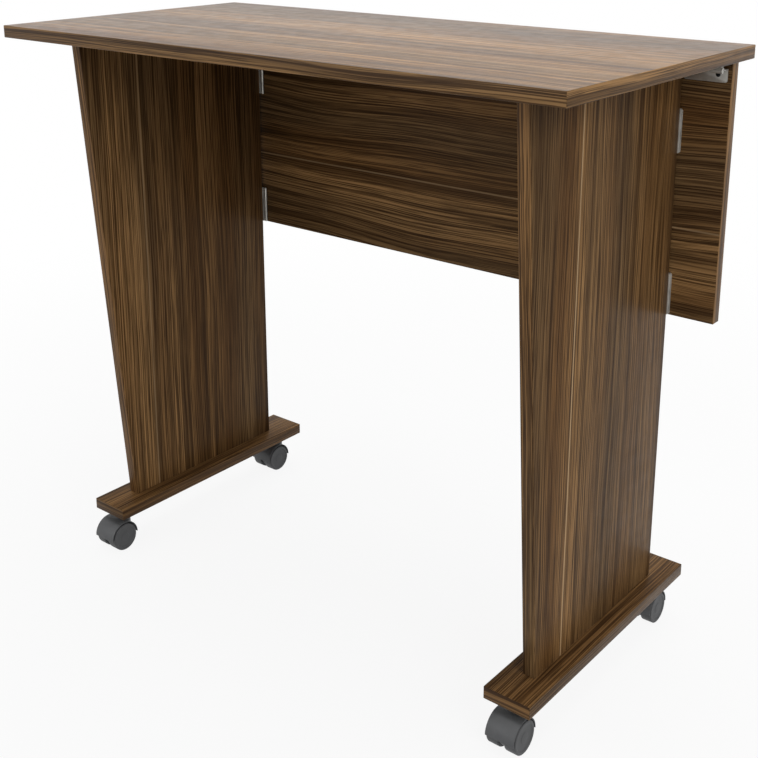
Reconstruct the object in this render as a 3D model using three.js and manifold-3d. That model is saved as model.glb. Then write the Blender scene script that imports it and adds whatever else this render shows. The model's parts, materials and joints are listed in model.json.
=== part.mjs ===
// A folding work table on castors. Two leg panels hang on a back panel by butt hinges and swing in
// against it, and the top turns on two cranked hinges at the panel's ends.
// Millimetres, +Z up, floor at z 0. X runs along the top, and -Y is the sitter's side.

import * as THREE from 'three';
import { mergeVertices } from 'three/addons/utils/BufferGeometryUtils.js';
import Module from 'manifold-3d';

const wasm = await Module();
wasm.setup();

// Boards
const BOARD = 15; // thickness of every board
const TOP_WIDTH = 800;
const TOP_DEPTH = 395;
const LEG_HEIGHT = 639.1;
const LEG_TAPER = 47.4; // how far the leg's front edge draws back towards the foot
const LEG_TOP_GAP = 0.9; // air between a leg panel and the top
const FOLD_GAP = 0.8; // air between the two folded legs
const PANEL_HEIGHT = 297;
const PANEL_END_INSET = 11; // from the top's end to the panel's end
const PANEL_TOP_GAP = 3; // air above the panel, which lets the top be lifted
const PANEL_BACK_INSET = 15; // from the top's rear edge to the panel's back
const FOOT_WIDTH = 58;
const FOOT_TOE = 44; // foot board in front of the leg
const FOOT_HEEL = 47.2; // foot board behind the leg

// Hinge stock
const LEAF = 1.2; // sheet thickness of a leaf
const PIN_PROUD = 0.6; // pin standing out of each end of its barrel
const CENTRE_KNUCKLE = 20;
const KNUCKLE_GAP = 0.4; // air between neighbouring knuckles

// Leg hinges, two to a leg
const LEG_HINGE_LENGTH = 50;
const LEG_HINGE_REACH = 21.8; // from the pin to the leaf's free edge
const LEG_BARREL_RADIUS = 1.9;
const LEG_PIN_RADIUS = 0.95;
const LEG_PIN_INSET = 4.8; // from the leg's inner face to the pin
const LOWER_HINGE_RISE = 1; // lower hinge above the panel's lower edge
const UPPER_HINGE_DROP = 55; // upper hinge below the panel's upper edge

// Top hinges, cranked so that the top can drop in front of the folded legs
const TOP_HINGE_LENGTH = 50;
const TOP_HINGE_REACH = 14.5;
const TOP_BARREL_RADIUS = 3.1;
const TOP_PIN_RADIUS = 1.5;
const TOP_HINGE_END_INSET = 4.8; // from the panel's end
const TOP_HINGE_LEG_GAP = 0.7; // air between the hinge and the leg beside it
const TOP_PIN_FORWARD = 14.5; // from the panel's face to the pin
const TOP_PIN_DROP = 10; // from the top's underside to the pin

// Hinge screws
const SCREW_RADIUS = 1.6;
const SCREW_HEAD_RADIUS = 2.8;
const SCREW_HEAD_HEIGHT = 1.8;
const SCREW_HEAD_FLAT = 1.7; // radius of the flat on the head
const SCREW_HEAD_SIDE = 0.81; // height of the head's upright side
const SCREW_LINE = 6; // from the pin
const SCREW_END_INSET = 10.5; // from the hinge's end
const SCREW_COVER = 4.2; // board left beyond a screw's point

// Screws that hold a foot board to its leg
const FOOT_SCREW_RADIUS = 3.2;
const FOOT_SCREW_HEAD_RADIUS = 5;
const FOOT_SCREW_HEAD_DEPTH = 3;
const FOOT_SCREW_BITE = 34; // length inside the leg
const FOOT_SCREW_INSET = 40; // from the leg's corners

// Castors
const CASTOR_HEIGHT = 52; // from the floor to the foot board
const CASTOR_END_INSET = 24; // from the foot board's end to the king pin
const CASTOR_TRAIL = 14; // from the king pin to the axle
const PLATE_SIZE = 42;
const PLATE_THICKNESS = 2;
const PLATE_CORNER = 4;
const KING_PIN_RADIUS = 3.5;
const KING_PIN_LENGTH = 15;
const SWIVEL_GAP = 0.6; // air between the plate and the hood's boss
const BOSS_RADIUS = 8;
const HOOD_WALL = 1.1;
const HOOD_AIR = 1.9; // between the tread and the hood
const WEB_WIDTH = 7; // hood's web between the wheels
const WEB_AIR = 0.5; // between the web and each wheel
const WEB_RADIUS = 16; // web below the axle
const WHEEL_RADIUS = 19;
const WHEEL_WIDTH = 14.5;
const WHEEL_PROUD = 0.5; // wheel's face outside the hood's edge
const WHEEL_COVER = 4.2; // wheel left beyond the axle's bore
const WHEEL_EDGE = 2; // rounding of the tread's edges
const WHEEL_EDGE_CUT = 0.6; // how far the outer rounding's middle lies from its corner
const RIM_WIDTH = 3.5; // raised rim on the wheel's face
const RIM_RISE = 0.8;
const AXLE_RADIUS = 3;

// Clearances and facets
const CLEARANCE = 0.3;
const PRESS_CLEARANCE = 0.2;
const BARREL_SIDES = 12;
const SCREW_SIDES = 12;
const PIN_SIDES = 16;
const WHEEL_SIDES = 24;
const HOOD_STEPS = 12; // facets of half the hood
const CORNER_STEPS = 3;
const WELD = 1e-4; // vertices closer than this are one

// Places worked out from the sizes, with y 0 under the middle of the top
const FOOT_TOP = CASTOR_HEIGHT + BOARD;
const UNDERSIDE = FOOT_TOP + LEG_HEIGHT + LEG_TOP_GAP;
const TOP_FRONT = -TOP_DEPTH / 2;
const TOP_REAR = TOP_DEPTH / 2;
const PANEL_FACE = TOP_REAR - PANEL_BACK_INSET - BOARD;
const PANEL_UPPER = UNDERSIDE - PANEL_TOP_GAP;
const PANEL_LOWER = PANEL_UPPER - PANEL_HEIGHT;
const LEG_HINGE_RISE = LEG_BARREL_RADIUS + PRESS_CLEARANCE;
const LEG_PIN_Y = PANEL_FACE - LEG_HINGE_RISE;
const LEG_REAR = LEG_PIN_Y - LEG_HINGE_RISE;
const PANEL_END = TOP_WIDTH / 2 - PANEL_END_INSET;
const LEG_OUTER = PANEL_END - TOP_HINGE_END_INSET - TOP_HINGE_LENGTH - TOP_HINGE_LEG_GAP;
const LEG_MIDDLE = LEG_OUTER - BOARD / 2;
const LEG_PIN_X = LEG_OUTER - BOARD - LEG_PIN_INSET;
const LEG_TOP_DEPTH = LEG_PIN_X - LEG_HINGE_RISE - FOLD_GAP / 2;
const LEG_FOOT_DEPTH = LEG_TOP_DEPTH - LEG_TAPER;
const TOP_PIN_Y = PANEL_FACE - TOP_PIN_FORWARD;
const TOP_PIN_Z = UNDERSIDE - TOP_PIN_DROP;
const TOP_HINGE_X = PANEL_END - TOP_HINGE_END_INSET - TOP_HINGE_LENGTH / 2;
const SCREW_BITE = BOARD - SCREW_COVER;
const SCREW_BORE = SCREW_RADIUS + CLEARANCE;
const FOOT_SCREW_BORE = FOOT_SCREW_RADIUS + CLEARANCE;
const SCREW_OFFSETS = [-1, 1].map((end) => end * (TOP_HINGE_LENGTH / 2 - SCREW_END_INSET));
const FOOT_FRONT = -LEG_FOOT_DEPTH - FOOT_TOE;
const FOOT_SCREW_PLACES = [-FOOT_SCREW_INSET, FOOT_SCREW_INSET - LEG_FOOT_DEPTH];
const FOREMOST = Math.min(TOP_FRONT, LEG_REAR + FOOT_FRONT);
const REARMOST = Math.max(TOP_REAR, LEG_REAR + FOOT_HEEL);
const HOOD_INSIDE = WHEEL_RADIUS + HOOD_AIR;
const HOOD_RADIUS = HOOD_INSIDE + HOOD_WALL;
const WHEEL_SPACE = WEB_WIDTH + 2 * WEB_AIR;
const HOOD_WIDTH = WHEEL_SPACE + 2 * (WHEEL_WIDTH - WHEEL_PROUD);
const BORE_DEPTH = WHEEL_WIDTH - WHEEL_COVER;
const AXLE_HALF = WHEEL_SPACE / 2 + BORE_DEPTH - CLEARANCE;
const AXLE_DROP = WHEEL_RADIUS - CASTOR_HEIGHT; // below the foot board's underside

// Finishes
const WALNUT = { color: 0x5b4229, roughness: 0.5, metalness: 0 };
const ZINC = { color: 0x9a9a96, roughness: 0.35, metalness: 0.9 };
const BLACK_SCREW = { color: 0x17171a, roughness: 0.4, metalness: 0.7 };
const GREY_PLASTIC = { color: 0x4d4e50, roughness: 0.55, metalness: 0 };
const DARK_PLASTIC = { color: 0x2b2c2e, roughness: 0.55, metalness: 0 };

const AXIS_X = new THREE.Vector3(1, 0, 0);
const AXIS_Y = new THREE.Vector3(0, 1, 0);
const AXIS_Z = new THREE.Vector3(0, 0, 1);

// A solid for joining and cutting, made of a closed geometry whose shared vertices are merged.
function solid(geometry) {
  const bare = new THREE.BufferGeometry();
  bare.setAttribute('position', geometry.getAttribute('position'));
  bare.setIndex(geometry.getIndex());
  const merged = mergeVertices(bare, WELD);
  const corners = merged.getIndex().array;
  const triangles = [];
  for (let i = 0; i < corners.length; i += 3) {
    const [a, b, c] = corners.slice(i, i + 3);
    if (a !== b && b !== c && c !== a) triangles.push(a, b, c);
  }
  return new wasm.Manifold(new wasm.Mesh({
    numProp: 3,
    vertProperties: new Float32Array(merged.getAttribute('position').array),
    triVerts: new Uint32Array(triangles),
  }));
}

// The flat-shaded geometry of a solid.
function geometryOf(body) {
  const { vertProperties, triVerts } = body.getMesh();
  const shared = new THREE.BufferGeometry();
  shared.setAttribute('position', new THREE.BufferAttribute(vertProperties, 3));
  shared.setIndex(new THREE.BufferAttribute(triVerts, 1));
  const flat = shared.toNonIndexed();
  flat.computeVertexNormals();
  return flat;
}

function piece(name, body, finish) {
  const mesh = new THREE.Mesh(geometryOf(body), new THREE.MeshStandardMaterial(finish));
  mesh.name = name;
  return mesh;
}

// A block between two corners.
function block(low, high) {
  const size = high.map((value, i) => value - low[i]);
  const middle = high.map((value, i) => (value + low[i]) / 2);
  return solid(new THREE.BoxGeometry(...size).translate(...middle));
}

// A round bar along Z through x, y.
function rod(radius, low, high, sides, [x, y] = [0, 0]) {
  const bar = new THREE.CylinderGeometry(radius, radius, high - low, sides).rotateX(Math.PI / 2);
  return solid(bar.translate(x, y, (low + high) / 2));
}

// A turned piece about Z. The outline is a list of [radius, z] from the lower pole to the upper one.
function turned(outline, sides) {
  const points = outline.map(([radius, z]) => new THREE.Vector2(radius, z));
  return solid(new THREE.LatheGeometry(points, sides).rotateX(Math.PI / 2));
}

// A plate drawn in Y and Z, running along X.
function plateAlongX(shape, low, high, steps) {
  const plate = new THREE.ExtrudeGeometry(shape, {
    depth: high - low,
    bevelEnabled: false,
    curveSegments: steps,
  });
  const stand = new THREE.Matrix4().makeBasis(AXIS_Y, AXIS_Z, AXIS_X);
  return solid(plate.applyMatrix4(stand).translate(low, 0, 0));
}

// Turns an object so that its own +X and +Y point the given ways.
function face(object, along, up) {
  const across = new THREE.Vector3().crossVectors(along, up);
  object.setRotationFromMatrix(new THREE.Matrix4().makeBasis(along, up, across));
}

// Hinge leaf about a pin on Z. A web rises along +Y to the sheet, which runs along +X.
function hingeLeaf({ length, reach, rise, barrel, pin, holes = [] }, ownsCentre) {
  const half = length / 2;
  const outline = new THREE.Shape([
    new THREE.Vector2(-LEAF / 2, 0),
    new THREE.Vector2(LEAF / 2, 0),
    new THREE.Vector2(LEAF / 2, rise - LEAF),
    new THREE.Vector2(reach, rise - LEAF),
    new THREE.Vector2(reach, rise),
    new THREE.Vector2(-LEAF / 2, rise),
  ]);
  const sheet = new THREE.ExtrudeGeometry(outline, { depth: length, bevelEnabled: false });
  let leaf = solid(sheet.translate(0, 0, -half));
  const inner = (CENTRE_KNUCKLE - KNUCKLE_GAP) / 2;
  const outer = (CENTRE_KNUCKLE + KNUCKLE_GAP) / 2;
  const ends = (from) => [[-half, -from], [from, half]];
  const own = ownsCentre ? [[-inner, inner]] : ends(outer);
  const foreign = ownsCentre ? ends(inner) : [[-outer, outer]];
  const room = barrel + CLEARANCE;
  for (const [low, high] of foreign) leaf = leaf.subtract(block([-room, -room, low], [room, room, high]));
  for (const [low, high] of own) leaf = leaf.add(rod(barrel, low, high, BARREL_SIDES));
  leaf = leaf.subtract(rod(pin + PRESS_CLEARANCE, -length, length, BARREL_SIDES));
  for (const place of holes) {
    const drill = new THREE.CylinderGeometry(SCREW_BORE, SCREW_BORE, 2 * LEAF, SCREW_SIDES);
    leaf = leaf.subtract(solid(drill.translate(SCREW_LINE, rise - LEAF / 2, place)));
  }
  return leaf;
}

function hingePin({ length, pin }) {
  const end = length / 2 + PIN_PROUD;
  const nose = pin / 2;
  const lower = [[0, -end], [nose, -end], [pin, nose - end]];
  const upper = [[pin, end - nose], [nose, end], [0, end]];
  return turned([...lower, ...upper], BARREL_SIDES);
}

// Pan-headed screw on Z, with the underside of its head at z 0 and its point up.
function hingeScrew() {
  const tip = LEAF + SCREW_BITE - CLEARANCE;
  return turned([
    [0, -SCREW_HEAD_HEIGHT],
    [SCREW_HEAD_FLAT, -SCREW_HEAD_HEIGHT],
    [SCREW_HEAD_RADIUS, -SCREW_HEAD_SIDE],
    [SCREW_HEAD_RADIUS, 0],
    [SCREW_RADIUS, 0],
    [SCREW_RADIUS, tip - 2 * SCREW_RADIUS],
    [0, tip],
  ], SCREW_SIDES);
}

// Long board screw on Z, sunk flush in the foot board's underside, point up.
function footScrew() {
  const tip = BOARD + FOOT_SCREW_BITE;
  return turned([
    [0, 0],
    [FOOT_SCREW_HEAD_RADIUS, 0],
    [FOOT_SCREW_RADIUS, FOOT_SCREW_HEAD_DEPTH],
    [FOOT_SCREW_RADIUS, tip - FOOT_SCREW_RADIUS],
    [FOOT_SCREW_RADIUS / 2, tip],
    [0, tip],
  ], SCREW_SIDES);
}

function tabletop() {
  const half = TOP_WIDTH / 2;
  let board = block([-half, TOP_FRONT, UNDERSIDE], [half, TOP_REAR, UNDERSIDE + BOARD]);
  for (const side of [-1, 1]) {
    for (const offset of SCREW_OFFSETS) {
      const place = [side * TOP_HINGE_X + offset, TOP_PIN_Y - SCREW_LINE];
      const deepest = UNDERSIDE + SCREW_BITE;
      board = board.subtract(rod(SCREW_BORE, UNDERSIDE - BOARD, deepest, SCREW_SIDES, place));
    }
  }
  return piece('tabletop', board, WALNUT);
}

function backPanel() {
  let board = block([-PANEL_END, PANEL_FACE, PANEL_LOWER], [PANEL_END, PANEL_FACE + BOARD, PANEL_UPPER]);
  for (const side of [-1, 1]) {
    for (const offset of SCREW_OFFSETS) {
      const drill = new THREE.CylinderGeometry(SCREW_BORE, SCREW_BORE, 2 * SCREW_BITE, SCREW_SIDES);
      const place = [side * TOP_HINGE_X + offset, PANEL_FACE, TOP_PIN_Z - SCREW_LINE];
      board = board.subtract(solid(drill.translate(...place)));
    }
  }
  return piece('back_panel', board, WALNUT);
}

// Leg panel with its rear edge on y 0 and its lower edge on z 0.
function legPanel(name) {
  const outline = new THREE.Shape([
    new THREE.Vector2(0, 0),
    new THREE.Vector2(0, LEG_HEIGHT),
    new THREE.Vector2(-LEG_TOP_DEPTH, LEG_HEIGHT),
    new THREE.Vector2(-LEG_FOOT_DEPTH, 0),
  ]);
  let board = plateAlongX(outline, -BOARD / 2, BOARD / 2, 1);
  for (const y of FOOT_SCREW_PLACES) {
    const depth = FOOT_SCREW_BITE + CLEARANCE;
    board = board.subtract(rod(FOOT_SCREW_BORE, -BOARD, depth, SCREW_SIDES, [0, y]));
  }
  return piece(name, board, WALNUT);
}

// Foot board with its upper face on z 0, under the leg.
function footBoard(name) {
  const half = FOOT_WIDTH / 2;
  let board = block([-half, FOOT_FRONT, -BOARD], [half, FOOT_HEEL, 0]);
  for (const y of FOOT_SCREW_PLACES) {
    const sink = FOOT_SCREW_HEAD_DEPTH + CLEARANCE;
    const wide = FOOT_SCREW_HEAD_RADIUS + CLEARANCE;
    board = board.subtract(rod(FOOT_SCREW_BORE, -2 * BOARD, BOARD, SCREW_SIDES, [0, y]));
    board = board.subtract(rod(wide, -2 * BOARD, sink - BOARD, SCREW_SIDES, [0, y]));
  }
  return piece(name, board, WALNUT);
}

// Castor parts stand about the king pin on Z, with the foot board's underside on z 0.
function castorPlate() {
  const half = PLATE_SIZE / 2;
  const flat = half - PLATE_CORNER;
  const outline = new THREE.Shape();
  outline.absarc(flat, flat, PLATE_CORNER, 0, Math.PI / 2);
  outline.absarc(-flat, flat, PLATE_CORNER, Math.PI / 2, Math.PI);
  outline.absarc(-flat, -flat, PLATE_CORNER, Math.PI, 1.5 * Math.PI);
  outline.absarc(flat, -flat, PLATE_CORNER, 1.5 * Math.PI, 2 * Math.PI);
  const sheet = new THREE.ExtrudeGeometry(outline, {
    depth: PLATE_THICKNESS,
    bevelEnabled: false,
    curveSegments: CORNER_STEPS,
  });
  const hole = rod(KING_PIN_RADIUS + PRESS_CLEARANCE, -PLATE_SIZE, PLATE_SIZE, PIN_SIDES);
  return solid(sheet.translate(0, 0, -PLATE_THICKNESS)).subtract(hole);
}

function kingPin() {
  const nose = KING_PIN_RADIUS / 3;
  return turned([
    [0, -KING_PIN_LENGTH],
    [KING_PIN_RADIUS - nose, -KING_PIN_LENGTH],
    [KING_PIN_RADIUS, nose - KING_PIN_LENGTH],
    [KING_PIN_RADIUS, 0],
    [0, 0],
  ], PIN_SIDES);
}

// A bar along X on the axle's line.
function axleBar(radius, half, sides) {
  const bar = new THREE.CylinderGeometry(radius, radius, 2 * half, sides).rotateZ(Math.PI / 2);
  return solid(bar.translate(0, -CASTOR_TRAIL, AXLE_DROP));
}

function hood() {
  const wallMiddle = HOOD_INSIDE + HOOD_WALL / 2;
  const shellOutline = new THREE.Shape();
  shellOutline.absarc(0, 0, HOOD_RADIUS, 0, Math.PI);
  shellOutline.absarc(0, 0, HOOD_INSIDE, Math.PI, 0, true);
  const webOutline = new THREE.Shape();
  webOutline.absarc(0, 0, wallMiddle, 0, Math.PI);
  webOutline.absarc(0, 0, WEB_RADIUS, Math.PI, 2 * Math.PI);
  const overAxle = [0, -CASTOR_TRAIL, AXLE_DROP];
  const shell = plateAlongX(shellOutline, -HOOD_WIDTH / 2, HOOD_WIDTH / 2, HOOD_STEPS).translate(overAxle);
  const web = plateAlongX(webOutline, -WEB_WIDTH / 2, WEB_WIDTH / 2, HOOD_STEPS).translate(overAxle);
  const bossTop = -PLATE_THICKNESS - SWIVEL_GAP;
  const wheelRoom = axleBar(wallMiddle, PLATE_SIZE, 2 * HOOD_STEPS);
  const boss = rod(BOSS_RADIUS, AXLE_DROP, bossTop, PIN_SIDES).subtract(wheelRoom);
  const pinRoom = rod(KING_PIN_RADIUS + CLEARANCE, -KING_PIN_LENGTH - CLEARANCE, BOARD, PIN_SIDES);
  const axleRoom = axleBar(AXLE_RADIUS + PRESS_CLEARANCE, PLATE_SIZE, PIN_SIDES);
  return shell.add(web).add(boss).subtract(pinRoom).subtract(axleRoom);
}

// Wheel about X with its bored inner face on x 0, standing on one of its flats.
function wheel() {
  const tread = WHEEL_RADIUS / Math.cos(Math.PI / WHEEL_SIDES);
  const bore = AXLE_RADIUS + CLEARANCE;
  const disc = WHEEL_WIDTH - RIM_RISE;
  const outline = [
    [0, BORE_DEPTH],
    [bore, BORE_DEPTH],
    [bore, 0],
    [tread - WHEEL_EDGE, 0],
    [tread, WHEEL_EDGE],
    [tread, WHEEL_WIDTH - WHEEL_EDGE],
    [tread - WHEEL_EDGE_CUT, WHEEL_WIDTH - WHEEL_EDGE_CUT],
    [tread - WHEEL_EDGE, WHEEL_WIDTH],
    [tread - RIM_WIDTH, WHEEL_WIDTH],
    [tread - RIM_WIDTH - RIM_RISE, disc],
    [0, disc],
  ];
  const points = outline.map(([radius, x]) => new THREE.Vector2(radius, x));
  const turnedWheel = new THREE.LatheGeometry(points, WHEEL_SIDES, Math.PI / WHEEL_SIDES);
  return solid(turnedWheel.rotateZ(-Math.PI / 2));
}

function castor(name, side) {
  const group = new THREE.Group();
  group.add(piece(`${name}_plate`, castorPlate(), ZINC));
  group.add(piece(`${name}_king_pin`, kingPin(), ZINC));
  group.add(piece(`${name}_hood`, hood(), GREY_PLASTIC));
  group.add(piece(`${name}_axle`, axleBar(AXLE_RADIUS, AXLE_HALF, PIN_SIDES), ZINC));
  for (const [label, way] of [['inner', -side], ['outer', side]]) {
    const mesh = piece(`${name}_${label}_wheel`, wheel(), DARK_PLASTIC);
    mesh.position.set(way * WHEEL_SPACE / 2, -CASTOR_TRAIL, AXLE_DROP);
    if (way < 0) mesh.rotation.z = Math.PI;
    group.add(mesh);
  }
  return group;
}

// Leg panel, foot board, their screws and two castors.
function leg(word, side) {
  const group = new THREE.Group();
  group.add(legPanel(`${word}_leg_panel`));
  group.add(footBoard(`${word}_foot_board`));
  FOOT_SCREW_PLACES.forEach((y, i) => {
    const screw = piece(`${word}_foot_screw_${i + 1}`, footScrew(), ZINC);
    screw.position.set(0, y, -BOARD);
    group.add(screw);
  });
  const ends = [['front', FOOT_FRONT + CASTOR_END_INSET], ['rear', FOOT_HEEL - CASTOR_END_INSET]];
  for (const [end, y] of ends) {
    const wheels = castor(`castor_${end}_${word}`, side);
    wheels.position.set(0, y, -BOARD);
    group.add(wheels);
  }
  group.position.set(side * LEG_MIDDLE, LEG_REAR, FOOT_TOP);
  return group;
}

// Butt hinge shut between the leg's rear edge and the panel, leaves pointing outwards.
function legHinge(name, side) {
  const group = new THREE.Group();
  const sizes = {
    length: LEG_HINGE_LENGTH,
    reach: LEG_HINGE_REACH,
    rise: LEG_HINGE_RISE,
    barrel: LEG_BARREL_RADIUS,
    pin: LEG_PIN_RADIUS,
  };
  const outwards = AXIS_X.clone().multiplyScalar(side);
  const panelLeaf = piece(`${name}_panel_leaf`, hingeLeaf(sizes, false), ZINC);
  const legLeaf = piece(`${name}_leg_leaf`, hingeLeaf(sizes, true), ZINC);
  face(panelLeaf, outwards, AXIS_Y);
  face(legLeaf, outwards, AXIS_Y.clone().negate());
  group.add(panelLeaf, legLeaf, piece(`${name}_pin`, hingePin(sizes), ZINC));
  return group;
}

// Cranked hinge between the panel's face and the top's underside, with its pin along X.
function topHinge(word, side) {
  const group = new THREE.Group();
  const stock = {
    length: TOP_HINGE_LENGTH,
    reach: TOP_HINGE_REACH,
    barrel: TOP_BARREL_RADIUS,
    pin: TOP_PIN_RADIUS,
    holes: SCREW_OFFSETS,
  };
  const name = `${word}_top_hinge`;
  const down = AXIS_Z.clone().negate();
  const forward = AXIS_Y.clone().negate();
  const panelSheet = hingeLeaf({ ...stock, rise: TOP_PIN_FORWARD }, false);
  const topSheet = hingeLeaf({ ...stock, rise: TOP_PIN_DROP }, true);
  const panelLeaf = piece(`${name}_panel_leaf`, panelSheet, ZINC);
  const topLeaf = piece(`${name}_top_leaf`, topSheet, ZINC);
  const pin = piece(`${name}_pin`, hingePin(stock), ZINC);
  face(panelLeaf, down, AXIS_Y);
  face(topLeaf, forward, AXIS_Z);
  pin.rotation.y = Math.PI / 2;
  group.add(panelLeaf, topLeaf, pin);
  SCREW_OFFSETS.forEach((offset, i) => {
    const panelScrew = piece(`${name}_panel_screw_${i + 1}`, hingeScrew(), BLACK_SCREW);
    panelScrew.position.set(offset, TOP_PIN_FORWARD - LEAF, -SCREW_LINE);
    panelScrew.rotation.x = -Math.PI / 2;
    const topScrew = piece(`${name}_top_screw_${i + 1}`, hingeScrew(), BLACK_SCREW);
    topScrew.position.set(offset, -SCREW_LINE, TOP_PIN_DROP - LEAF);
    group.add(panelScrew, topScrew);
  });
  group.position.set(side * TOP_HINGE_X, TOP_PIN_Y, TOP_PIN_Z);
  return group;
}

const table = new THREE.Group();
table.add(tabletop(), backPanel());
for (const [word, side] of [['left', -1], ['right', 1]]) {
  table.add(leg(word, side), topHinge(word, side));
  const heights = [
    ['upper', PANEL_UPPER - UPPER_HINGE_DROP - LEG_HINGE_LENGTH / 2],
    ['lower', PANEL_LOWER + LOWER_HINGE_RISE + LEG_HINGE_LENGTH / 2],
  ];
  for (const [level, z] of heights) {
    const hinge = legHinge(`${word}_${level}_leg_hinge`, side);
    hinge.position.set(side * LEG_PIN_X, LEG_PIN_Y, z);
    table.add(hinge);
  }
}
table.position.y = -(FOREMOST + REARMOST) / 2;

export default table;
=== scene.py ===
"""Visual model of a folding work table on castors.

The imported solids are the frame. Here the boards get rounded arrises and a walnut-grain laminate, and the
hinges, the screws and the castors are remade with pressed, turned and moulded forms.
"""

from __future__ import annotations

import json
import logging
import math
from dataclasses import dataclass
from enum import Enum

import bmesh
import bpy
from bmesh.types import BMEdge, BMesh, BMVert
from bpy.types import ID, Material, Mesh, Node, NodeSocket, NodeTree, Object
from mathutils import Matrix, Vector

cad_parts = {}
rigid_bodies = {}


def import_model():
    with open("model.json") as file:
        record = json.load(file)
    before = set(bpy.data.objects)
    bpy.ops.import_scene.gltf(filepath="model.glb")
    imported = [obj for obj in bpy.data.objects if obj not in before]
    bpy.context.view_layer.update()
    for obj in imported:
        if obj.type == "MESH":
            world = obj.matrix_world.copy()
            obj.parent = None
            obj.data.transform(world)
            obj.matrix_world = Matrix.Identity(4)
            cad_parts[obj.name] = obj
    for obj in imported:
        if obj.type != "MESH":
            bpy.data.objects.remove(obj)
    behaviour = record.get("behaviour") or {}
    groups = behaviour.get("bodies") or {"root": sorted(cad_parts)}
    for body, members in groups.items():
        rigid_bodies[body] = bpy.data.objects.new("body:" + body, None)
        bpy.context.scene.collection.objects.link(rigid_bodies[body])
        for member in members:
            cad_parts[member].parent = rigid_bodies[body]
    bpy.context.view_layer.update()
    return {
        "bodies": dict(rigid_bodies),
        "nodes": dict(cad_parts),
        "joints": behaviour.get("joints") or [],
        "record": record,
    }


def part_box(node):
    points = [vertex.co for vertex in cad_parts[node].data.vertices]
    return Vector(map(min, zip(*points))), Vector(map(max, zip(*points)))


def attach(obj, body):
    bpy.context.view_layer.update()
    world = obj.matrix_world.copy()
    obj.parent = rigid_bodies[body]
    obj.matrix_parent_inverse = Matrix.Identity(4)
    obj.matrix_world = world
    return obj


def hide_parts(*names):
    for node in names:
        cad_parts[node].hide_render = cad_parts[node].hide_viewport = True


LOG = logging.getLogger("work_table")
MM = 0.001
NO_JOINT = 9.0  # a veneer joint this far off, in metres, never shows
SHARP_TURN = math.radians(35)  # edges that turn by more are shaded sharp
WELD = 0.001 * MM
QUARTER_TURN = math.radians(90)

Colour = tuple[float, float, float, float]
SocketOrValue = NodeSocket | float
SocketOrColour = NodeSocket | Colour
Stretch = tuple[float, float, float]


class Axis(Enum):
    """An axis of the table, by its place in a vector."""

    X = 0
    Y = 1
    Z = 2


class ScrewForm(Enum):
    """The head that a screw shows, as shares of its radius and height from the crown outwards."""

    PAN = ((0.0, 1.0), (0.45, 0.97), (0.8, 0.8), (1.0, 0.4))
    OVAL = ((0.0, 1.0), (0.5, 0.82), (0.85, 0.35))


@dataclass(frozen=True)
class Grain:
    """Stretched noise, and the values of it that become 0 and 1."""

    stretch: Stretch
    detail: float
    low: float
    high: float
    roughness: float = 0.5


VENEER = {
    "Band": Grain((0.6, 15.0, 5.0), 2.0, 0.25, 0.75),
    "Cast": Grain((0.5, 11.0, 8.0), 1.0, 0.42, 0.66),
    "Streak": Grain((0.8, 82.0, 14.0), 2.0, 0.5, 0.68),
    "Line": Grain((4.0, 660.0, 60.0), 2.0, 0.4, 0.6, 0.6),
    "Pore": Grain((16.0, 1100.0, 90.0), 1.0, 0.52, 0.66),
}
JOINT_WEAR = Grain((6.0, 40.0, 5.0), 2.0, 0.15, 0.45)
MOTTLE = Grain((60.0, 60.0, 60.0), 3.0, 0.3, 0.7)
RUB = Grain((240.0, 240.0, 240.0), 4.0, 0.6, 0.75, 0.7)
WANDER_STRETCH: Stretch = (2.4, 7.0, 3.0)
RIPPLE_STRETCH: Stretch = (9.0, 30.0, 9.0)
SPECK_STRETCH: Stretch = (2600.0, 2600.0, 2600.0)
SEED_STRIDE = 3.7  # how far along the grain a step of the seed moves
RIPPLE_REACH = 2.2 * MM
JOINT_NUDGE = 4.0 * MM
JOINT_CORE = 0.4 * MM
JOINT_EDGE = 1.7 * MM


def display(red: int, green: int, blue: int) -> Colour:
    """Turns display values from 0 to 255 into the linear colour that a shader takes."""
    linear = [((v / 255 + 0.055) / 1.055) ** 2.4 if v > 10 else v / 255 / 12.92 for v in (red, green, blue)]
    return (linear[0], linear[1], linear[2], 1.0)


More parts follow.
